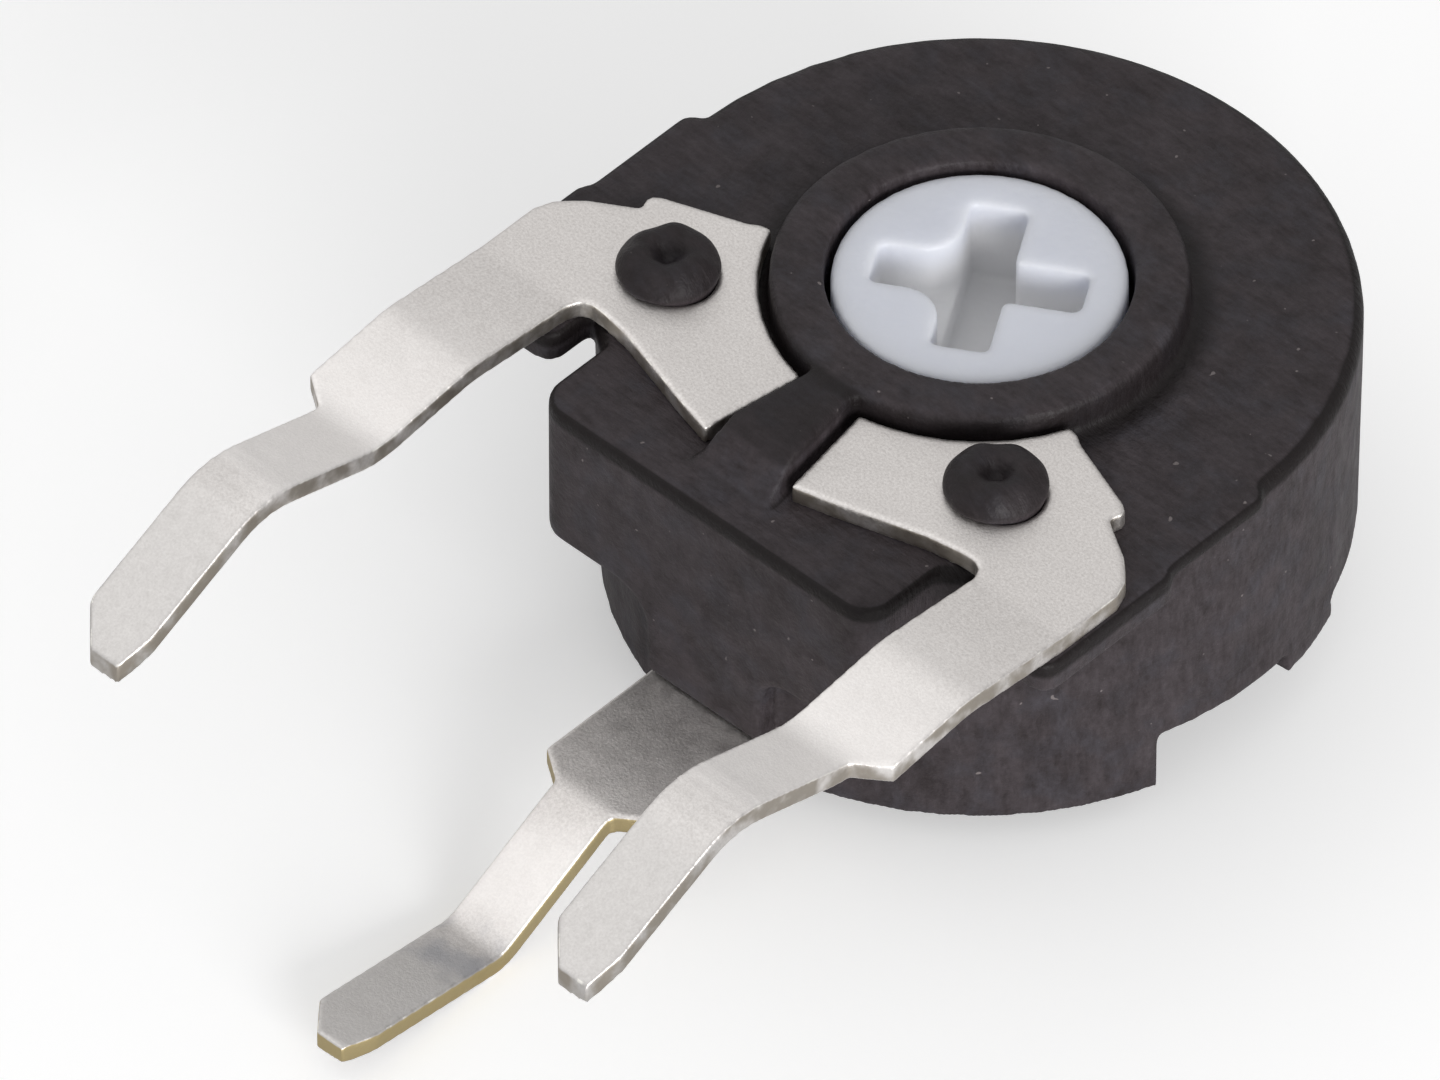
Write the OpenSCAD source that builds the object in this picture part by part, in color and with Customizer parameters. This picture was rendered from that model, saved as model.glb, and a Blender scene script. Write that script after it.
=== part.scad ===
// Round single-turn trimmer potentiometer with a cross-slotted rotor and three flat crimped legs.
// It lies on its rear cover, rotor facing +Z, legs along -Y, rotor axis on X = 0, Y = 0.

/* [Body] */
// Outside diameter of the round housing
body_d = 6.02; // [5.8:0.01:6.6]
// Rear face of the cover to the annular front face
body_t = 2.75; // [2.65:0.05:3.4]
// Thickness of the side wall
wall_t = 0.5; // [0.42:0.01:0.55]
// Thickness of the front wall
front_t = 0.65; // [0.55:0.01:0.7]
// Radius on the edge of the front face
edge_r = 0.14; // [0.05:0.01:0.2]
// How far the back part of the side wall stops short of the rear face
rim_step = 0.55; // [0.4:0.01:0.6]
// Where that step sits, towards the legs from the rotor axis
rim_step_y = 0.96; // [0.7:0.01:1.2]

// How much smaller the wall's radius is at the rear, for release from the mould
wall_draft = 0.03; // [0:0.01:0.1]
// Distance of the flange's straight sides from the middle plane
flange_half = 3.1; // [3.06:0.01:3.14]

/* [Boss and web] */
// Diameter of the raised ring round the rotor
boss_d = 3.3; // [3.1:0.01:3.36]
// Height of the raised ring over the front face
boss_h = 0.32; // [0.26:0.01:0.45]
// Half width of the web at the ring
web_near = 0.16; // [0.12:0.01:0.2]
// Half width of the web at the front edge
web_far = 0.42; // [0.34:0.01:0.46]

// Length of the ramp that brings the web down to the face
web_ramp = 0.6; // [0.3:0.05:0.7]
// Radius in the corners between the ring and the web
web_fillet = 0.13; // [0.05:0.01:0.2]

/* [Front block and ears] */
// Half width of the flat front block
block_half = 1.78; // [1.6:0.01:1.9]
// Reach of the flat front from the rotor axis
block_reach = 3.17; // [3.14:0.01:3.4]
// Depth of the block, measured back from the front face
block_deep = 1.42; // [1.2:0.01:1.6]
// Half width of the neck over the middle leg
neck_half = 0.6; // [0.5:0.01:0.62]
// Radius between the block and the neck
neck_fillet = 0.35; // [0.2:0.01:0.4]
// Reach of the ears under the outer legs
ear_reach = 2.64; // [2.5:0.01:2.9]
// Thickness of an ear
ear_t = 0.3; // [0.25:0.01:0.45]

/* [Heat-formed posts] */
// Distance of a post from the middle plane
post_x = 1.75; // [1.72:0.01:1.8]
// Distance of a post from the rotor axis, towards the legs
post_y = 1.57; // [1.54:0.01:1.62]
// Radius of the post in the terminal's hole
post_r = 0.28; // [0.22:0.01:0.3]
// Radius of the formed head
dome_r = 0.42; // [0.4:0.005:0.44]
// Height of the formed head over the terminal
dome_h = 0.27; // [0.24:0.01:0.3]
// Shift of both formed heads towards -X, where the hot tool met the posts
dome_shift = 0.11; // [0:0.01:0.12]

/* [Rotor] */
// Diameter of the rotor where it shows in the ring
rotor_d = 2.36; // [2.2:0.01:2.4]
// Drop of the rotor face below the top of the ring
face_drop = 0.06; // [0.04:0.01:0.12]
// Length of the deeper screwdriver slot
deep_len = 1.56; // [1.4:0.01:1.8]
// Length of the shallower screwdriver slot
shallow_len = 1.67; // [1.4:0.01:1.8]
// Width of the deeper slot
deep_w = 0.44; // [0.36:0.01:0.5]
// Width of the shallower slot
shallow_w = 0.4; // [0.36:0.01:0.5]
// Radius that flares the arm of the shallower slot on the pointer side
flare_r = 0.32; // [0.2:0.01:0.34]
// Depth of the deeper slot
slot_deep = 0.8; // [0.6:0.01:0.9]
// Depth of the shallower slot
slot_shallow = 0.5; // [0.4:0.01:0.6]
// Turn of the rotor from its middle position, as photographed
rest_turn = 31; // [0:1:45]
// Whole turn of the rotor between its stops
whole_turn = 235; // [225:1:245]
// Radius of the pivot under the rotor
pivot_r = 0.4; // [0.35:0.01:0.42]

/* [Metal parts] */
// Sheet thickness of the three terminals
metal_t = 0.18; // [0.16:0.01:0.22]
// Distance between the two outer legs
pin_pitch = 5; // [4.9:0.01:5.1]
// Width of an outer leg where it enters the board
pin_w = 0.66; // [0.56:0.01:0.7]
// Width of the middle leg where it enters the board
middle_w = 0.6; // [0.54:0.01:0.7]
// Width added on the outer side above the shoulder
shoulder_w = 0.29; // [0.2:0.01:0.32]
// Distance from the rotor axis to the shoulders that stand on the board
seat_reach = 4.3; // [4.2:0.01:4.5]
// Distance from the rotor axis to the tips of the outer legs
tip_reach = 7.36; // [7.2:0.01:8]
// Distance from the rotor axis to the tip of the middle leg
middle_reach = 7.46; // [7.2:0.01:8]
// Length of the rounded tip of a leg
tip_len = 0.3; // [0.2:0.01:0.4]
// Middle radius of the bends that crimp the legs
crimp_r = 0.8; // [0.4:0.05:0.9]
// Sheet thickness of the sliding contact
spring_t = 0.1; // [0.08:0.01:0.12]

/* [Resistor plate] */
// Thickness of the resistor plate
plate_t = 0.35; // [0.3:0.01:0.38]
// Thickness of the printed track
track_t = 0.04; // [0.03:0.005:0.05]
// Inner radius of the printed track
track_in = 1.62; // [1.55:0.01:1.7]
// Outer radius of the printed track
track_out = 2.3; // [2.2:0.01:2.34]
// Electrical travel, the arc of the carbon itself
track_turn = 220; // [210:1:226]

/* [Clearances] */
// Running gap between a turning and a fixed round surface
run_gap = 0.04; // [0.02:0.01:0.06]
// Gap under a sliding contact
touch_gap = 0.02; // [0.01:0.005:0.03]
// Gap round a piece dropped into a seat
seat_gap = 0.02; // [0.01:0.005:0.04]

/* [Hidden] */
$fn = 96;
body_r = body_d / 2;
cavity_r = body_r - wall_t;
ledge_r = cavity_r - 0.15;
cover_t = 0.35;
disc_z = cover_t;
disc_top = disc_z + metal_t;
plate_z = disc_top + 0.2;
plate_top = plate_z + plate_t;
track_top = plate_top + track_t;
flange_z = track_top + 0.32;
inner_z = body_t - front_t;
flange_top = inner_z - run_gap;
boss_r = boss_d / 2;
boss_top = body_t + boss_h;
rotor_r = rotor_d / 2;
rotor_top = boss_top - face_drop;
bore_r = rotor_r + run_gap;
flange_r = 1.75;
lug_r = ledge_r - 0.15;
lug_half = 22;
stop_half = 180 - whole_turn / 2 - lug_half;
head_top = body_t + metal_t;
leg_in = pin_pitch / 2 - pin_w / 2;
leg_out = leg_in + pin_w + shoulder_w;
leg_narrow = leg_in + pin_w;
arc_r = boss_r + 0.08;
web_start = bore_r + 0.1;
web_end = block_reach - 0.2;
web_slant = atan((web_far - web_near) / (web_end - web_start));
head_gap = 0.09;
tab_y = 2.05;
tab_w = 0.42;
ring_in = 0.5;
ring_out = 1.15;
disc_r = 1.6;
stem_start = 1.3;
cover_in = 0.14;
big = 20;

// Ring cut to the sector that spreads "half" degrees each side of the +Y direction.
module sector(r_in, r_out, h, half) {
    rotate([0, 0, 90 - half])
        rotate_extrude(angle = 2 * half)
            translate([r_in, 0])
                square([r_out - r_in, h]);
}

// Sheet strip that starts at the origin towards -Y and bends up or down at the end of each step.
// Each step is [straight length, bend in degrees (up is positive), middle radius of the bend].
module strip(t, w, steps, i = 0) {
    run = steps[i][0];
    turn = steps[i][1];
    r = steps[i][2];
    translate([-w / 2, -run, -t / 2])
        cube([w, run, t]);
    if (i < len(steps) - 1)
        translate([0, -run, 0]) {
            mirror([0, 0, turn < 0 ? 1 : 0])
                translate([0, 0, r])
                    mirror([0, 1, 0])
                        rotate([0, 90, 0])
                            rotate_extrude(angle = abs(turn))
                                translate([r - t / 2, -w / 2])
                                    square([t, w]);
            translate([0, -r * sin(abs(turn)), sign(turn) * r * (1 - cos(turn))])
                rotate([-turn, 0, 0])
                    strip(t, w, steps, i + 1);
        }
}

// Rectangle in plan with round corners, from corner low to corner high.
module round_plate(low, high, r, h) {
    linear_extrude(h) {
        translate([low[0] + r, low[1]])
            square([high[0] - low[0] - 2 * r, high[1] - low[1]]);
        translate([low[0], low[1] + r])
            square([high[0] - low[0], high[1] - low[1] - 2 * r]);
        for (x = [low[0] + r, high[0] - r])
            for (y = [low[1] + r, high[1] - r])
                translate([x, y])
                    circle(r);
    }
}

// Solid of revolution of height h with its upper edge rounded to radius e.
module soft_disc(r, h, e) {
    rotate_extrude() {
        square([r, h - e]);
        square([r - e, h]);
        translate([r - e, h - e])
            intersection() {
                circle(e);
                square(e);
            }
    }
}

// Round part of the housing: its front edge is soft and its wall tapers a little to the rear.
module round_body() {
    intersection() {
        soft_disc(body_r, body_t, edge_r);
        cylinder(r1 = body_r - wall_draft, r2 = body_r, h = body_t);
    }
}

// Flat front: a wide block at the front face that narrows through fillets to the neck.
module front_block() {
    intersection() {
        round_plate([-block_half, -block_reach], [block_half, -1.9], 0.26, body_t);
        rotate([90, 0, 0])
            linear_extrude(big) {
                difference() {
                    translate([-block_half, body_t - block_deep - neck_fillet])
                        square([2 * block_half, block_deep + neck_fillet]);
                    for (s = [-1, 1])
                        translate([s * (neck_half + neck_fillet), body_t - block_deep - neck_fillet]) {
                            circle(neck_fillet);
                            translate([s > 0 ? 0 : -big, -big])
                                square([big, big + neck_fillet]);
                        }
                }
                translate([-neck_half, 0])
                    square([2 * neck_half, body_t - block_deep]);
            }
    }
}

// Pad that carries one outer leg, and the straight side of the flange that joins it to the round body.
module ear() {
    translate([0, 0, body_t - ear_t])
        round_plate([leg_in - 0.05, -ear_reach], [leg_out + 0.04, -1.1], 0.16, ear_t);
    translate([0, 0, body_t - edge_r])
        round_plate([leg_in, -ear_reach + 0.2], [flange_half, 0], edge_r, edge_r);
}

// Web from the ring to the front edge, with its end ramped smoothly down to the face.
module web() {
    corner_x = web_near + web_fillet + 0.05;
    corner_y = sqrt(pow(boss_r + web_fillet, 2) - pow(corner_x, 2));
    ramp = [for (k = [0:10]) [k / 10 * web_ramp - web_end, body_t + boss_h * (1 - cos(18 * k)) / 2]];
    intersection() {
        translate([0, 0, body_t - 0.1])
            linear_extrude(boss_h + 0.1) {
                polygon([
                    [-web_near, -web_start], [web_near, -web_start],
                    [web_far, -web_end], [-web_far, -web_end]
                ]);
                difference() {
                    polygon([
                        [0, 0.2 - boss_r], [corner_x, -corner_y * boss_r / (boss_r + web_fillet)],
                        [corner_x, -corner_y], [0, -corner_y], [-corner_x, -corner_y],
                        [-corner_x, -corner_y * boss_r / (boss_r + web_fillet)]
                    ]);
                    for (s = [-1, 1])
                        translate([s * corner_x, -corner_y])
                            circle(web_fillet);
                }
            }
        rotate([90, 0, 90])
            translate([0, 0, -1])
                linear_extrude(2)
                    polygon(concat(ramp, [[0, boss_top], [0, 0], [-web_end, 0]]));
    }
}

// Post through a terminal's hole, formed by heat into a button head with a small crater.
module post() {
    translate([0, 0, body_t - 0.1])
        cylinder(r = post_r, h = metal_t + 0.2);
    translate([-dome_shift, 0, head_top])
        difference() {
            soft_disc(dome_r, dome_h, 0.2);
            translate([0, 0, dome_h + 0.14])
                sphere(0.2);
        }
}

// Half width of the web, with the gap to a terminal's head, at a distance y from the rotor axis.
function head_x(y) = web_near + head_gap + (y - web_start) * tan(web_slant);

// Moves its children to the inner edge of the head, with +X square to that edge.
module at_tab() {
    translate([head_x(tab_y), -tab_y, 0])
        rotate([0, 0, web_slant])
            children();
}

// Slot that lets one terminal's tab through the front wall.
module tab_slot() {
    at_tab()
        translate([-0.03, -tab_w / 2 - 0.03, flange_z - 0.2])
            cube([metal_t + 0.06, tab_w + 0.06, big]);
}

module housing() {
    color([0.16, 0.15, 0.155])
    difference() {
        union() {
            difference() {
                union() {
                    round_body();
                    front_block();
                    ear();
                    mirror([1, 0, 0])
                        ear();
                    translate([0, 0, body_t - 0.1])
                        soft_disc(boss_r, boss_h + 0.1, 0.07);
                    web();
                }
                translate([0, 0, -1])
                    cylinder(r = cavity_r, h = plate_top + 1);
                translate([0, 0, -1])
                    cylinder(r = ledge_r, h = inner_z + 1);
                translate([-big, -rim_step_y, -big])
                    cube([2 * big, big, big + rim_step]);
            }
            rotate([0, 0, 180])
                translate([0, 0, flange_z - 0.1])
                    sector(flange_r + 0.06, ledge_r + 0.1, inner_z - flange_z + 0.2, stop_half);
            rotate([0, 0, -75])
                translate([0, 0, rim_step - 0.22])
                    sector(body_r - 0.3, body_r - wall_draft, 0.4, 7);
            for (s = [-1, 1])
                translate([s * post_x, -post_y, 0])
                    post();
        }
        cylinder(r = bore_r, h = big);
        tab_slot();
        mirror([1, 0, 0])
            tab_slot();
        translate([-neck_half - 0.05, -big, -1])
            cube([2 * neck_half + 0.1, big - ledge_r, 1 + disc_top + seat_gap]);
    }
}

module rear_cover() {
    color([0.18, 0.17, 0.17])
    difference() {
        union() {
            cylinder(r = cavity_r - seat_gap, h = plate_z);
            translate([-neck_half, cover_in - block_reach, 0])
                cube([2 * neck_half, block_reach - cover_in - ledge_r, cover_t - seat_gap]);
        }
        translate([0, 0, cover_t])
            cylinder(r = cavity_r - 0.35, h = big);
        translate([-neck_half - 0.05, -big, cover_t])
            cube([2 * neck_half + 0.1, big, big]);
        translate([0, 0, 0.14])
            cylinder(r = pivot_r + run_gap, h = big);
        translate([0, 0, -1])
            difference() {
                cylinder(r = 1.5, h = 1.06);
                cylinder(r = 1.3, h = 1.06);
            }
    }
}

// Fillet of radius r in the inner corner at "at", with the arms of the cross towards the sides given.
module corner(at, side_x, side_y, r) {
    translate([at[0], at[1], -slot_shallow])
        linear_extrude(big)
            difference() {
                translate([side_x > 0 ? 0 : -r, side_y > 0 ? 0 : -r])
                    square(r);
                translate([side_x * r, side_y * r])
                    circle(r);
            }
}

// Cross recess: a deep slot, a shallower one across it, and one arm flared to show the setting.
module cross_recess() {
    translate([-deep_w / 2, -deep_len / 2, -slot_deep])
        cube([deep_w, deep_len, big]);
    translate([-shallow_len / 2, -shallow_w / 2, -slot_shallow])
        cube([shallow_len, shallow_w, big]);
    for (side_x = [-1, 1])
        for (side_y = [-1, 1])
            corner(
                [side_x * deep_w / 2, side_y * shallow_w / 2], side_x, side_y, side_x < 0 ? flare_r : 0.06
            );
}

module rotor() {
    color([0.86, 0.87, 0.88])
    translate([0, 0, flange_z])
    rotate([0, 0, rest_turn]) {
        difference() {
            union() {
                rotate_extrude() {
                    square([rotor_r, rotor_top - flange_z - 0.05]);
                    square([rotor_r - 0.05, rotor_top - flange_z]);
                    square([flange_r, flange_top - flange_z]);
                    translate([rotor_r - 0.05, rotor_top - flange_z - 0.05])
                        intersection() {
                            circle(0.05);
                            square(0.05);
                        }
                }
                sector(flange_r - 0.1, lug_r, flange_top - flange_z, lug_half);
            }
            translate([0, 0, rotor_top - flange_z])
                cross_recess();
        }
        translate([0, 0, 0.16 - flange_z])
            cylinder(r = pivot_r, h = flange_z - 0.16 + 0.1);
        for (s = [-1, 1])
            translate([s * 0.58, 0.5, 0]) {
                translate([0, 0, -spring_t])
                    cylinder(r = 0.11, h = spring_t + 0.1);
                translate([0, 0, -spring_t - 0.06])
                    cylinder(r = 0.16, h = 0.06);
            }
    }
}

// Stamped spring under the rotor: three fingers reach the track and two tongues the middle ring.
module sliding_contact() {
    drop_out = flange_z - spring_t - track_top - touch_gap;
    drop_in = flange_z - spring_t - plate_top - touch_gap;
    bend = 0.15;
    lean = 30;
    run_out = (drop_out - 2 * bend * (1 - cos(lean))) / sin(lean);
    run_in = (drop_in - 2 * bend * (1 - cos(lean))) / sin(lean);
    color([0.78, 0.66, 0.42])
    rotate([0, 0, rest_turn]) {
        translate([0, 0, flange_z - spring_t])
            difference() {
                intersection() {
                    cylinder(r = 1, h = spring_t);
                    translate([-2, 0, 0])
                        cube([4, 2, spring_t]);
                }
                translate([0, 0, -1])
                    cylinder(r = pivot_r + 0.05, h = 2);
                for (s = [-1, 1])
                    translate([s * 0.58, 0.5, -1])
                        cylinder(r = 0.12, h = 2);
            }
        difference() {
            translate([0, 0.7, flange_z - spring_t / 2])
                rotate([0, 0, 180])
                    strip(spring_t, 0.9, [
                        [0.5, -lean, bend], [run_out, lean, bend], [0.3, 25, bend], [0.05, 0, 0]
                    ]);
            for (x = [-0.17, 0.17])
                translate([x - 0.035, 1.15, 0])
                    cube([0.07, 2, big]);
        }
        for (s = [-1, 1])
            translate([s * 0.66, 0.15, flange_z - spring_t / 2])
                strip(spring_t, 0.22, [
                    [0.15, -lean, bend], [run_in, lean, bend], [0.15, 25, bend], [0.03, 0, 0]
                ]);
    }
}

module resistor_plate() {
    color([0.42, 0.27, 0.15])
    translate([0, 0, plate_z])
        difference() {
            cylinder(r = cavity_r - seat_gap, h = plate_t);
            translate([0, 0, -1])
                cylinder(r = ring_out + 0.1, h = 3);
            translate([0, -cavity_r, -1])
                cylinder(r = 0.16, h = 3);
        }
}

module carbon_track() {
    color([0.08, 0.08, 0.085])
    translate([0, 0, plate_top])
        sector(track_in, track_out, track_t, track_turn / 2);
}

// Printed silver pad from the end of the carbon to just short of the middle plane.
module end_pad() {
    translate([0, 0, plate_top])
        rotate([0, 0, 90 - 172])
            rotate_extrude(angle = 172 - track_turn / 2)
                translate([track_in, 0])
                    square([ledge_r - 0.05 - track_in, track_t]);
}

module left_end_pad() {
    color([0.72, 0.72, 0.7])
    mirror([1, 0, 0])
        end_pad();
}

module right_end_pad() {
    color([0.72, 0.72, 0.7])
    end_pad();
}

// Straight length of strip that two bends leave between two bend corners.
function between(a, b, slope, t1, t2, r) = (b - a) / cos(slope) - r * tan(abs(t1) / 2) - r * tan(abs(t2) / 2);

// Plan of a leg: wide down to the shoulders, narrow below them, with an elliptical tip.
module leg_plan(wide_in, narrow_in, narrow_out, wide_out, start, tip) {
    half = (narrow_out - narrow_in) / 2;
    end = [for (k = [0:12]) [narrow_in + half * (1 - cos(15 * k)), tip_len * (1 - sin(15 * k)) - tip]];
    translate([0, 0, -5])
        linear_extrude(12)
            polygon(concat(
                [[wide_in, -start], [wide_in, -seat_reach], [narrow_in, -seat_reach - 0.2]],
                end,
                [[narrow_out, -seat_reach - 0.2], [wide_out, -seat_reach], [wide_out, -start]]
            ));
}

// Flat head of an outer terminal, hollowed along the ring and holed for its post.
module head() {
    translate([0, 0, body_t])
        linear_extrude(metal_t)
            difference() {
                polygon([
                    [head_x(2.64), -2.64], [head_x(1.5), -1.5], [1.2, -0.7], [1.56, -0.67],
                    [1.69, -0.69], [1.78, -0.75], [2.46, -1.0], [2.53, -1.05], [2.54, -1.11],
                    [2.5, -1.2], [2.86, -1.42], [2.97, -1.52], [3.06, -1.62], [leg_out, -1.78],
                    [leg_out, -2.4], [leg_in, -2.4], [leg_in - 0.04, -2.29], [leg_in - 0.13, -2.25],
                    [1.9, -2.26], [1.6, -2.31], [1.37, -2.38], [1.1, -2.46], [0.84, -2.54]
                ]);
                circle(arc_r);
                translate([post_x, -post_y])
                    circle(post_r + seat_gap);
            }
}

// Outer terminal on the +X side: head, square tab down to the end pad, and crimped leg.
module outer_terminal() {
    slope = [5, -7.5, 16.5, -25.5];
    v = [2.4, seat_reach - 0.85, seat_reach + 0.2, seat_reach + 1.47];
    r = crimp_r;
    head();
    at_tab()
        translate([0, -tab_w / 2, track_top])
            cube([metal_t, tab_w, body_t + metal_t / 2 - track_top]);
    intersection() {
        translate([(leg_in + leg_out) / 2, -2, body_t + metal_t / 2])
            strip(metal_t, leg_out - leg_in + 0.2, [
                [v[0] - 2 - r * tan(slope[0] / 2), slope[0], r],
                for (k = [1:3])
                    let (turn = slope[k] - slope[k - 1], back = k > 1 ? slope[k - 2] : 0)
                        [between(v[k - 1], v[k], slope[k - 1], slope[k - 1] - back, turn, r), turn, r],
                [3, 0, 0]
            ]);
        leg_plan(leg_in, leg_in, leg_narrow, leg_out, 2, tip_reach);
    }
}

module left_terminal() {
    color([0.8, 0.78, 0.76])
    mirror([1, 0, 0])
        outer_terminal();
}

module right_terminal() {
    color([0.8, 0.78, 0.76])
    outer_terminal();
}

// Middle terminal: a plate with a raised contact ring, and a leg crimped the other way.
module middle_terminal() {
    r = 0.4;
    half = middle_w / 2;
    v = [seat_reach + 0.2, seat_reach + 1.4];
    color([0.8, 0.77, 0.7]) {
        rotate_extrude()
            polygon([
                [ring_out - 0.15, disc_z], [disc_r, disc_z], [disc_r, disc_top], [ring_out, disc_top],
                [ring_out, plate_top], [ring_in, plate_top], [ring_in, plate_top - 0.15],
                [ring_out - 0.15, plate_top - 0.15]
            ]);
        intersection() {
            translate([0, -stem_start, disc_z + metal_t / 2])
                strip(metal_t, 2, [
                    [v[0] - stem_start - r * tan(14), -28, r],
                    [between(v[0], v[1], 28, 28, 35, r), 35, r],
                    [3, 0, 0]
                ]);
            leg_plan(-half - shoulder_w, -half, half, half + shoulder_w, stem_start, middle_reach);
        }
    }
}

housing();
rear_cover();
rotor();
sliding_contact();
resistor_plate();
carbon_track();
left_end_pad();
right_end_pad();
left_terminal();
right_terminal();
middle_terminal();
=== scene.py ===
"""Looks of a small round trimmer potentiometer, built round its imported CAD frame.

Blender's lengths are in metres. Materials and point formulas work in millimetres."""
import math

import bmesh
import bpy
import numpy as np
from mathutils import Matrix, Vector


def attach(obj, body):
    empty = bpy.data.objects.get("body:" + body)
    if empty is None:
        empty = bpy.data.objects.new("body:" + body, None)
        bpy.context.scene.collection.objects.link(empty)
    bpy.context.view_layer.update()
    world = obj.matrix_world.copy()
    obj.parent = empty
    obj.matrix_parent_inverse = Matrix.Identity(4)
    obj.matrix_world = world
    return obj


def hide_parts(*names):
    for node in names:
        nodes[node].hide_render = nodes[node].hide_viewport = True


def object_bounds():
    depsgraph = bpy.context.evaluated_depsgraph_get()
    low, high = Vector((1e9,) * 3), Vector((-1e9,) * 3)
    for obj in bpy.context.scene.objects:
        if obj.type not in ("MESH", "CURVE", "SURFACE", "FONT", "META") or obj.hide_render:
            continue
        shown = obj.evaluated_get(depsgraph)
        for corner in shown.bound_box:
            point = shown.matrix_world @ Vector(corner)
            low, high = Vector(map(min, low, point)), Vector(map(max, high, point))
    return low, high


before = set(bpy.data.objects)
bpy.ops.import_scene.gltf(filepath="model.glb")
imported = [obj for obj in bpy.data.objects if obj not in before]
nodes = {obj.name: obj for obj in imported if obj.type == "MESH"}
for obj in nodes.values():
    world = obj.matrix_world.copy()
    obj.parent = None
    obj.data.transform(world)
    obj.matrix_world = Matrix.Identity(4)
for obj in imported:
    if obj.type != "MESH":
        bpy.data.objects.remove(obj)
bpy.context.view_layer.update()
MM = 0.001

# Camera: a long lens at the angle of the photograph.
# It looks down at 45 degrees on the front face and the three legs.
AZIMUTH, ELEVATION = math.radians(43.4), math.radians(45.2)
DISTANCE = 250 * MM
PIXELS_PER_MM, IMAGE_WIDE = 128.05, 1440
FACE_MIDDLE = Vector((0, 0, 2.75 * MM))
# How far the face's middle lies right of and above the picture's middle.
FACE_RIGHT, FACE_UP = 2.0266 * MM, 1.8797 * MM

toward = Vector((
    math.cos(ELEVATION) * math.sin(AZIMUTH),
    -math.cos(ELEVATION) * math.cos(AZIMUTH),
    math.sin(ELEVATION),
))
right = Vector((math.cos(AZIMUTH), math.sin(AZIMUTH), 0))
up = toward.cross(right)
turned = Matrix((right, up, toward)).transposed().to_4x4()
aim = FACE_MIDDLE - right * FACE_RIGHT - up * FACE_UP
lens = bpy.data.cameras.new("camera")
lens.sensor_width = 36
lens.lens = PIXELS_PER_MM * DISTANCE / MM * lens.sensor_width / IMAGE_WIDE
lens.clip_start, lens.clip_end = 0.01, 10
camera = bpy.data.objects.new("camera", lens)
camera.matrix_world = Matrix.Translation(aim + toward * DISTANCE) @ turned
bpy.context.scene.collection.objects.link(camera)
bpy.context.scene.camera = camera
bpy.context.scene.view_settings.view_transform = "Standard"

# Light: a white tent with a soft lamp low beside the right wall and a weak one above the legs.
# The tent is white to the camera and grey to matt surfaces. In reflections it is brightest above the legs.
TENT_LIGHT = 0.54
BRIGHT_WAY = (-0.48, -0.23, 0.85)
GLOW_SLOPE, GLOW_MIDDLE, GLOW_LEAST = 0.75, 0.38, 0.55
BODY_MIDDLE = Vector((0, -1 * MM, 2 * MM))


class Net:
    """A socket of a node tree that takes part in Python expressions: a number, a vector or a colour."""

    def __init__(self, tree, socket):
        self.tree, self.socket = tree, socket

    def node(self, kind, settings=None, out=0, **sockets):
        """Adds a node with its settings and gives its output number out.

        Sockets go by name, with _ for a space, or by number as i0, i1 and so on."""
        made = self.tree.nodes.new(kind)
        for name, value in (settings or {}).items():
            setattr(made, name, value)
        for name, value in sockets.items():
            key = int(name[1:]) if name[0] == "i" and name[1:].isdigit() else name.replace("_", " ")
            if isinstance(value, Net):
                self.tree.links.new(value.socket, made.inputs[key])
            else:
                made.inputs[key].default_value = value
        return Net(self.tree, made.outputs[out])

    def math(self, operation, other=0.0, clamp=False):
        return self.node("ShaderNodeMath", {"operation": operation, "use_clamp": clamp}, i0=self, i1=other)

    def __add__(self, other):
        return self.math("ADD", other)

    def __mul__(self, other):
        return self.math("MULTIPLY", other)

    def __sub__(self, other):
        return self.math("SUBTRACT", other)

    def __rsub__(self, other):
        return self.node("ShaderNodeMath", {"operation": "SUBTRACT"}, i0=other, i1=self)

    __radd__, __rmul__ = __add__, __mul__

    def at_least(self, other):
        """The larger of the two."""
        return self.math("MAXIMUM", other)

    def size(self):
        """The number without its sign."""
        return self.math("ABSOLUTE")

    def clamped(self):
        """The number kept between 0 and 1."""
        return self.math("ADD", 0.0, clamp=True)

    def step(self, low, high):
        """Runs smoothly from 0 at low to 1 at high."""
        smooth = {"interpolation_type": "SMOOTHSTEP"}
        return self.node("ShaderNodeMapRange", smooth, Value=self, From_Min=low, From_Max=high)

    def hump(self, rise, fall):
        """Runs from 0 to 1 over the span rise, and back to 0 over the span fall."""
        return self.step(*rise) * (1 - self.step(*fall))

    def mix(self, first, second):
        """Colour that goes from first to second as this number goes from 0 to 1."""
        return self.node("ShaderNodeMix", {"data_type": "RGBA"}, out=2, i0=self, i6=first, i7=second)

    def axis(self, index):
        """One part of a vector: 0, 1 or 2."""
        return self.node("ShaderNodeSeparateXYZ", out=index, Vector=self)

    def scaled(self, x, y, z):
        """The vector with each part multiplied."""
        return self.node("ShaderNodeVectorMath", {"operation": "MULTIPLY"}, i0=self, i1=(x, y, z))

    def length(self):
        """Length of a vector."""
        return self.node("ShaderNodeVectorMath", {"operation": "LENGTH"}, out=1, i0=self)

    def dot(self, other):
        """Dot product of two vectors."""
        return self.node("ShaderNodeVectorMath", {"operation": "DOT_PRODUCT"}, out=1, i0=self, i1=other)

    def noise(self, scale, detail=3.0, roughness=0.5):
        """Noise from 0 to 1, with that many cells to a millimetre."""
        return self.node("ShaderNodeTexNoise", Vector=self, Scale=scale, Detail=detail, Roughness=roughness)


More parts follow.
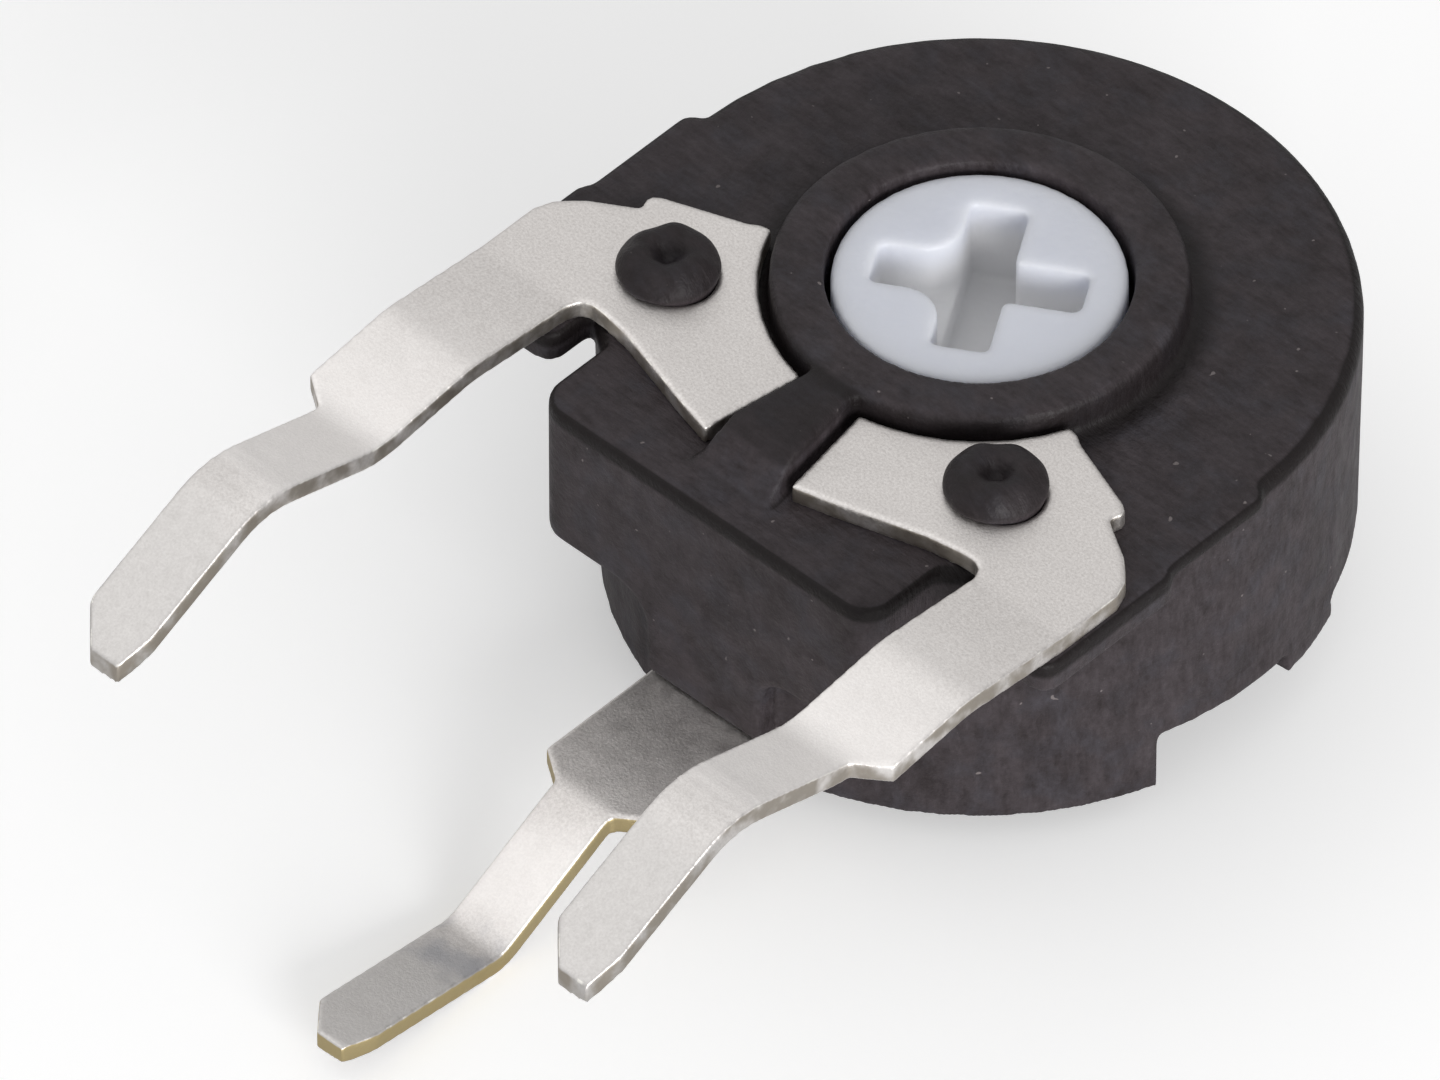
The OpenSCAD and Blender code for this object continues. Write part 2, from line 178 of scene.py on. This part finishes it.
def source(tree, kind, output):
    """Socket that a tree starts from, such as a place or a kind of ray."""
    return Net(tree, tree.nodes.new(kind).outputs[output])


def finish(name, colour, roughness, bump=None, strength=0.0, metallic=0.0, **constants):
    """New material with one main shader.

    Colour, roughness and bump are functions of a point's place in millimetres and of the way it faces.
    A plain number does for roughness. Bump is a height in millimetres. Constants are set on the shader."""
    material = bpy.data.materials.new(name)
    material.use_nodes = True
    tree = material.node_tree
    shader = tree.nodes["Principled BSDF"]
    at = source(tree, "ShaderNodeTexCoord", "Object").scaled(1 / MM, 1 / MM, 1 / MM)
    facing = source(tree, "ShaderNodeTexCoord", "Normal")
    shader.inputs["Metallic"].default_value = metallic
    for socket, value in constants.items():
        shader.inputs[socket.replace("_", " ")].default_value = value
    tree.links.new(colour(at, facing).socket, shader.inputs["Base Color"])
    if callable(roughness):
        tree.links.new(roughness(at, facing).socket, shader.inputs["Roughness"])
    else:
        shader.inputs["Roughness"].default_value = roughness
    if bump:
        normal = at.node("ShaderNodeBump", Strength=strength, Distance=MM, Height=bump(at, facing))
        tree.links.new(normal.socket, shader.inputs["Normal"])
    return material


world = bpy.data.worlds.new("tent")
bpy.context.scene.world = world
world.use_nodes = True
tent = world.node_tree
backdrop = tent.nodes["Background"]
backdrop.inputs["Color"].default_value = (1, 1, 1, 1)
seen = source(tent, "ShaderNodeLightPath", "Is Camera Ray")
reflected = source(tent, "ShaderNodeLightPath", "Is Glossy Ray")
glow = source(tent, "ShaderNodeTexCoord", "Generated").dot(BRIGHT_WAY) * GLOW_SLOPE + GLOW_MIDDLE
lit = reflected * glow.at_least(GLOW_LEAST) + (1 - reflected) * TENT_LIGHT
tent.links.new(lit.at_least(seen).socket, backdrop.inputs["Strength"])


def lamp(name, place, size, power):
    """Square soft lamp that shines at the body."""
    light = bpy.data.lights.new(name, "AREA")
    light.size, light.energy = size, power
    made = bpy.data.objects.new(name, light)
    turn = (Vector(place) - BODY_MIDDLE).to_track_quat("Z", "Y")
    made.matrix_world = Matrix.Translation(place) @ turn.to_matrix().to_4x4()
    bpy.context.scene.collection.objects.link(made)


lamp("beside_wall", (0.127, -0.059, 0.028), size=0.08, power=0.21)
lamp("above_legs", (-0.07, -0.035, 0.12), size=0.08, power=0.007)

# Floor: a plain pale sheet of paper that the part lies on.
# Its top is at the lowest point of the middle leg.
FLOOR_HALF = 2.0
PAPER, PAPER_PALE = (0.9, 0.9, 0.9, 1), (0.93, 0.93, 0.93, 1)
FLOOR_GLOW = 0.3
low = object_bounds()[0][2]
corners = [(x * FLOOR_HALF, y * FLOOR_HALF, low) for x, y in ((-1, -1), (1, -1), (1, 1), (-1, 1))]
floor_mesh = bpy.data.meshes.new("floor")
floor_mesh.from_pydata(corners, [], [(0, 1, 2, 3)])
floor = bpy.data.objects.new("floor", floor_mesh)
bpy.context.scene.collection.objects.link(floor)
floor_paper = finish("floor_paper", lambda at, facing: at.noise(0.02).mix(PAPER, PAPER_PALE), roughness=0.8)
paper = floor_paper.node_tree.nodes["Principled BSDF"]
paper.inputs["Emission Strength"].default_value = FLOOR_GLOW
floor_seen = source(floor_paper.node_tree, "ShaderNodeLightPath", "Is Camera Ray")
floor_paper.node_tree.links.new(floor_seen.socket, paper.inputs["Emission Color"])
floor_mesh.materials.append(floor_paper)

# Housing: one moulding in charcoal glass-filled plastic.
# Its two posts are formed by a hot tool over the heads of the outer terminals.
# Its edges are soft, and the matt face has fine flow streaks and a few pale specks.
CHARCOAL, CHARCOAL_LIGHT, SPECK = (0.022, 0.017, 0.018, 1), (0.062, 0.052, 0.057, 1), (0.16, 0.14, 0.14, 1)
# The second colour below is painted shade on the front edge and round the ring's foot, and the darker tone of
# the formed heads.
CHARCOAL_COOL, SHADE_AND_HEAD_DARK = (0.056, 0.051, 0.059, 1), (0.007, 0.005, 0.005, 1)
HOUSING_CELL = 0.03 * MM
FACE_AT, RING_FOOT = 2.75, 1.65
POST_X, POST_Y, HEAD_SHIFT = 1.75, 1.57, 0.11
HEAD_R, HEAD_REACH, HEAD_FOOT, HEAD_SOFT = 0.42, 0.5, 2.96, 0.2
CRATER_R, CRATER_DEEP, RIM_FALL = 0.14, 0.12, 0.09


def charcoal(at, facing):
    """Greys of the plastic, with painted shade on the rounded front edge and round the ring's foot, and
    darker on the formed heads.
    """
    clouds = at.noise(2.2, 5, 0.65)
    grain = at.noise(24, 2, 0.6)
    streaks = at.scaled(1, 3, 1).noise(5, 4, 0.7)
    tint = at.noise(3.1, 3).step(0.45, 0.65).mix(CHARCOAL_LIGHT, CHARCOAL_COOL)
    grey = (clouds * 1.3 + grain * 0.6 + streaks * 1.5 - 1.25).clamped().mix(CHARCOAL, tint)
    specked = at.noise(13, 1, 0.5).step(0.77, 0.8).mix(grey, SPECK)
    level = at.axis(2)
    flat = facing.axis(2).size().step(0.88, 0.98)
    away = at.scaled(1, 1, 0).length()
    # Painted shade: a dark band on the slopes just below the face's level, where the front edge rounds over.
    rim = level.hump((FACE_AT - 0.17, FACE_AT - 0.11), (FACE_AT, FACE_AT + 0.05)) * (1 - flat)
    # Painted shade: a dark ring on the face round the foot of the raised ring, where the ring shades the
    # face.
    foot_shade = away.hump((RING_FOOT - 0.06, RING_FOOT + 0.02), (RING_FOOT + 0.05, RING_FOOT + 0.3))
    foot_shade = foot_shade * level.step(FACE_AT - 0.1, FACE_AT)
    heads = level.step(FACE_AT + 0.2, FACE_AT + 0.26) * away.step(RING_FOOT + 0.1, RING_FOOT + 0.15)
    # The painted shade on the front edge and round the ring's foot, and the darker heads, all mix towards the
    # darkest colour.
    return (rim * 0.92).at_least(foot_shade * 0.85).at_least(heads * 0.55).mix(specked, SHADE_AND_HEAD_DARK)


def matt(at, facing):
    """Uneven dullness of moulded plastic."""
    return at.noise(6, 3) * 0.3 + 0.36


def flow_marks(at, facing):
    """Fine grain, streaks along the flow of the plastic and faint broad waves."""
    grain = at.noise(26, 3, 0.6) * 0.012
    streaks = at.scaled(1, 5, 1).noise(4, 3, 0.6) * 0.016
    return grain + streaks + at.noise(2.2, 4, 0.6) * 0.03


def hot_pressed(points):
    """Formed heads: a point at a distance d from a head's middle drops by three depths.

    They are a crater exp(-(d / CRATER_R)^2), a fall that grows as d^3, and waves round the rim."""
    x, y, z = (points / MM).T
    for side in (-1, 1):
        east, north = x - side * POST_X + HEAD_SHIFT, y + POST_Y
        away, turn = np.hypot(east, north), np.arctan2(north, east)
        share = np.clip((z - HEAD_FOOT) / HEAD_SOFT, 0, 1) * (away < HEAD_REACH)
        rim = np.clip(away / HEAD_R, 0, 1)
        crater = CRATER_DEEP * np.exp(-(away / CRATER_R) ** 2)
        waves = 0.022 * np.sin(3 * turn + side) + 0.014 * np.sin(7 * turn - 2 * side)
        z = z - share * (crater + RIM_FALL * rim ** 3 + waves * rim)
    return np.stack((x, y, z), axis=1) * MM


def settled(piece):
    """Turns the piece's modifiers into its mesh, and gives the mesh."""
    piece.data = bpy.data.meshes.new_from_object(piece.evaluated_get(bpy.context.evaluated_depsgraph_get()))
    piece.modifiers.clear()
    return piece.data


def softened(node, body, material, cell, passes, kept, inset=0.0, shaped=None):
    """Stands for a CAD node: its mesh is merged, rebuilt in cells and relaxed, so that its edges are round.

    Kept is the share of the faces that is left when flat places have been simplified.
    Inset moves the whole surface inwards along its normals, so that a moving piece stays clear of its stops.
    Shaped is a function that takes the points as rows in metres and gives them back moved."""
    work = bmesh.new()
    work.from_mesh(nodes[node].data)
    bmesh.ops.remove_doubles(work, verts=work.verts, dist=1e-8)
    mesh = bpy.data.meshes.new(node + "_soft")
    work.to_mesh(mesh)
    work.free()
    piece = bpy.data.objects.new(node + "_soft", mesh)
    bpy.context.scene.collection.objects.link(piece)
    rebuilt = piece.modifiers.new("rebuilt", "REMESH")
    rebuilt.mode, rebuilt.voxel_size, rebuilt.use_smooth_shade = "VOXEL", cell, True
    relaxed = piece.modifiers.new("relaxed", "SMOOTH")
    relaxed.factor, relaxed.iterations = 0.5, passes
    dense = settled(piece)
    places, normals = np.empty(3 * len(dense.vertices)), np.empty(3 * len(dense.vertices))
    dense.vertices.foreach_get("co", places)
    dense.vertices.foreach_get("normal", normals)
    moved = places - inset * normals
    if shaped:
        moved = shaped(moved.reshape(-1, 3)).ravel()
    dense.vertices.foreach_set("co", moved)
    dense.update()
    piece.modifiers.new("simplified", "DECIMATE").ratio = kept
    simple = settled(piece)
    simple.materials.clear()
    simple.materials.append(material)
    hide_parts(node)
    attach(piece, body)


housing_plastic = finish("housing_plastic", charcoal, matt, flow_marks, strength=0.7, Specular_IOR_Level=0.18)
softened(
    "housing", "case", housing_plastic,
    cell=HOUSING_CELL, passes=14, kept=0.45, shaped=hot_pressed,
)

# Rear cover: a moulded lid of the same charcoal plastic, pressed into the back of the housing.
# Its lip closes the channel of the middle leg.
COVER_CELL = 0.04 * MM
softened("rear_cover", "case", housing_plastic, cell=COVER_CELL, passes=8, kept=0.6)

# Rotor: a cool white moulding with crossed driver slots, held under the front wall by its flange.
# Light goes a little way into it, and its rim and slot edges are round. The slots are painted a paler, less
# blue white, so that their shade looks softer and grey.
ROTOR_WHITE, ROTOR_SHADE, PAINTED_SLOT_LIGHT = (0.76, 0.78, 0.85, 1), (0.71, 0.73, 0.80, 1), (0.82, 0.82, 0.83, 1)
RECESS_FROM, RECESS_TO = 2.6, 2.98
ROTOR_CELL, ROTOR_INSET = 0.026 * MM, 0.012 * MM


def milky_white(at, facing):
    """Cool white in two tones on the face, and down in the slots a plainer, paler white that is painted
    light, so that their shade looks softer and grey.
    """
    # Painted light: below the face the colour turns to a paler, less blue white.
    return at.axis(2).step(RECESS_FROM, RECESS_TO).mix(PAINTED_SLOT_LIGHT, at.noise(3, 3).mix(ROTOR_WHITE, ROTOR_SHADE))


rotor_plastic = finish(
    "rotor_plastic",
    milky_white,
    lambda at, facing: at.noise(8, 2) * 0.2 + 0.3,
    lambda at, facing: at.noise(14, 3) * 0.01,
    strength=0.5,
    Subsurface_Weight=0.7,
    Subsurface_Radius=(1, 1, 1),
    Subsurface_Scale=0.25 * MM,
)
softened(
    "rotor", "rotor", rotor_plastic,
    cell=ROTOR_CELL, passes=12, kept=0.7, inset=ROTOR_INSET,
)

# Outer terminals: brass sheet plated with matt tin, stamped, crimped and held by the housing's posts.
# The plating is finely grained, and its cut edges are dull grey-brown.
TIN, TIN_DARK, CUT_EDGE = (0.76, 0.73, 0.71, 1), (0.60, 0.57, 0.55, 1), (0.33, 0.29, 0.24, 1)
TIN_HIGHLIGHT, DARK_BAND, BURR_GLINT = (0.97, 0.94, 0.92, 1), (0.30, 0.31, 0.35, 1), (0.95, 0.93, 0.88, 1)
TIP_SHADE = (0.52, 0.51, 0.50, 1)
SHEET_CELL = 0.018 * MM
TIP_LEN, TIP_BASE = 0.3, 6.8


def tinned(edge, bare_from, highlight_at, band_y=None):
    """Colour of tin plating: two tones in fine grain, with painted shade darkening the leg's tip.

    A painted highlight is brightest between the first two places given along the leg, and fades out by the
    third.
    A dark blue-grey band crosses the leg where the last argument says, if it is given. Upright edges show the
    edge colour where noise is over bare_from."""
    def colour(at, facing):
        plated = (at.noise(42, 3, 0.7) * 3.0 - 1.0).clamped().mix(TIN, TIN_DARK)
        along = at.axis(1) + at.noise(1.5, 3) * 0.6 - 0.3
        # Painted highlight: a band along the leg is lightened towards near white, where the leg catches the
        # light.
        painted_highlight = along.hump((highlight_at[0] - 0.25, highlight_at[0] + 0.25), (highlight_at[1], highlight_at[2]))
        plated = (painted_highlight * 0.6).mix(plated, TIN_HIGHLIGHT)
        # Painted shade: the leg's tip is darkened towards a duller grey.
        plated = ((1 - along.step(-6.3, -5.6)) * 0.5).mix(plated, TIP_SHADE)
        if band_y is not None:
            # A dark blue-grey band across the leg, broken into patches by noise.
            near = 1 - (at.axis(1) - band_y + at.noise(3, 3) * 0.5 - 0.25).size().step(0.02, 0.42)
            plated = (near * at.noise(2.5, 3).step(0.35, 0.6) * 0.55).mix(plated, DARK_BAND)
        slope = 1 - facing.axis(2).size()
        # Burrs on the rounded edges, painted as bright patches: a painted highlight where light catches them.
        burr_glint = slope.hump((0.17, 0.28), (0.45, 0.7)) * at.noise(7, 3).step(0.52, 0.6)
        upright = slope.step(0.4, 0.7) * at.noise(4, 3).step(bare_from - 0.15, bare_from + 0.15)
        return (upright * 0.85).mix((burr_glint * 0.8).mix(plated, BURR_GLINT), edge)
    return colour


def sheet_metal(name, colour):
    """Plated sheet of that colour, with a fine grain and faint broad dents."""
    return finish(
        name,
        colour,
        lambda at, facing: at.noise(12, 3) * 0.2 + 0.36,
        lambda at, facing: at.noise(42, 3, 0.7) * 0.006 + at.noise(1.6, 2) * 0.03,
        strength=0.5,
        metallic=1.0,
    )


def slant_cut(leg_x, half, reach, fall):
    """Gives a function that cuts a leg's tip at a slant, square on its +X side.

    Beyond TIP_BASE each line along the leg is stretched, so that it ends at the cut and not at the ellipse.
    The leg is half that wide on each side of leg_x, ends at reach and falls by that many degrees."""
    cut_at = (-half, -0.12 * half, 0.76 * half, half)
    cut = (reach - TIP_LEN, reach, reach, reach - TIP_LEN)

    def cut_tip(points):
        x, y, z = (points / MM).T
        across = x - np.sign(x) * leg_x
        round_end = reach + TIP_LEN * (np.sqrt(np.clip(1 - (across / half) ** 2, 0, 1)) - 1)
        cut_end = np.interp(across, cut_at, cut)
        moved = np.minimum(y + TIP_BASE, 0) * ((cut_end - TIP_BASE) / (round_end - TIP_BASE) - 1)
        return np.stack((x, y + moved, z + moved * math.tan(math.radians(fall))), axis=1) * MM
    return cut_tip


outer_cut = slant_cut(leg_x=2.5, half=0.33, reach=7.36, fall=25.5)
outer_sheet = sheet_metal("outer_sheet", tinned(CUT_EDGE, bare_from=0.45, highlight_at=(-5.7, -4.4, -2.6)))
for terminal in ("left_terminal", "right_terminal"):
    softened(
        terminal, "case", outer_sheet,
        cell=SHEET_CELL, passes=12, kept=0.5, shaped=outer_cut,
    )

# Middle terminal: the same sheet, held between the resistor plate and the rear cover.
# It leaves at the rear, is crimped the other way, and its cut edges show bare brass.
BRASS, BAND_Y = (0.46, 0.36, 0.15, 1), -6.0
middle_cut = slant_cut(leg_x=0, half=0.3, reach=7.46, fall=-7)
middle_tin = tinned(BRASS, bare_from=0.2, highlight_at=(-5.6, -5.1, -4.5), band_y=BAND_Y)
middle_sheet = sheet_metal("middle_sheet", middle_tin)
softened(
    "middle_terminal", "case", middle_sheet,
    cell=SHEET_CELL, passes=12, kept=0.5, shaped=middle_cut,
)

# Resistor plate: a punched disc of brown resin paper that drops into the housing and carries the track.
# It keeps its CAD shape and only gets its material.
LAMINATE, LAMINATE_PALE = (0.17, 0.08, 0.03, 1), (0.24, 0.12, 0.05, 1)


def dressed(name, dark, pale, roughness, metallic=0.0):
    """Gives a CAD node that keeps its shape a material of two tones in soft clouds."""
    material = finish(
        name + "_finish",
        lambda at, facing: at.noise(9, 3).mix(dark, pale),
        lambda at, facing: at.noise(12, 2) * 0.2 + roughness,
        metallic=metallic,
    )
    nodes[name].data.materials.clear()
    nodes[name].data.materials.append(material)


dressed("resistor_plate", LAMINATE, LAMINATE_PALE, roughness=0.4)

# Track and end pads: a carbon arc printed on the plate, with a silver pad printed at each of its ends.
# The tabs of the outer terminals stand on the pads.
CARBON, CARBON_PALE = (0.010, 0.010, 0.011, 1), (0.02, 0.02, 0.022, 1)
SILVER, SILVER_PALE = (0.5, 0.5, 0.48, 1), (0.6, 0.6, 0.58, 1)
dressed("carbon_track", CARBON, CARBON_PALE, roughness=0.45)
for pad in ("left_end_pad", "right_end_pad"):
    dressed(pad, SILVER, SILVER_PALE, roughness=0.35, metallic=1.0)

# Sliding contact: a stamped spring of bronze sheet on the rotor's two pips.
# Its fingers run on the track and the middle terminal's ring.
BRONZE, BRONZE_PALE = (0.55, 0.38, 0.16, 1), (0.66, 0.5, 0.25, 1)
dressed("sliding_contact", BRONZE, BRONZE_PALE, roughness=0.2, metallic=1.0)
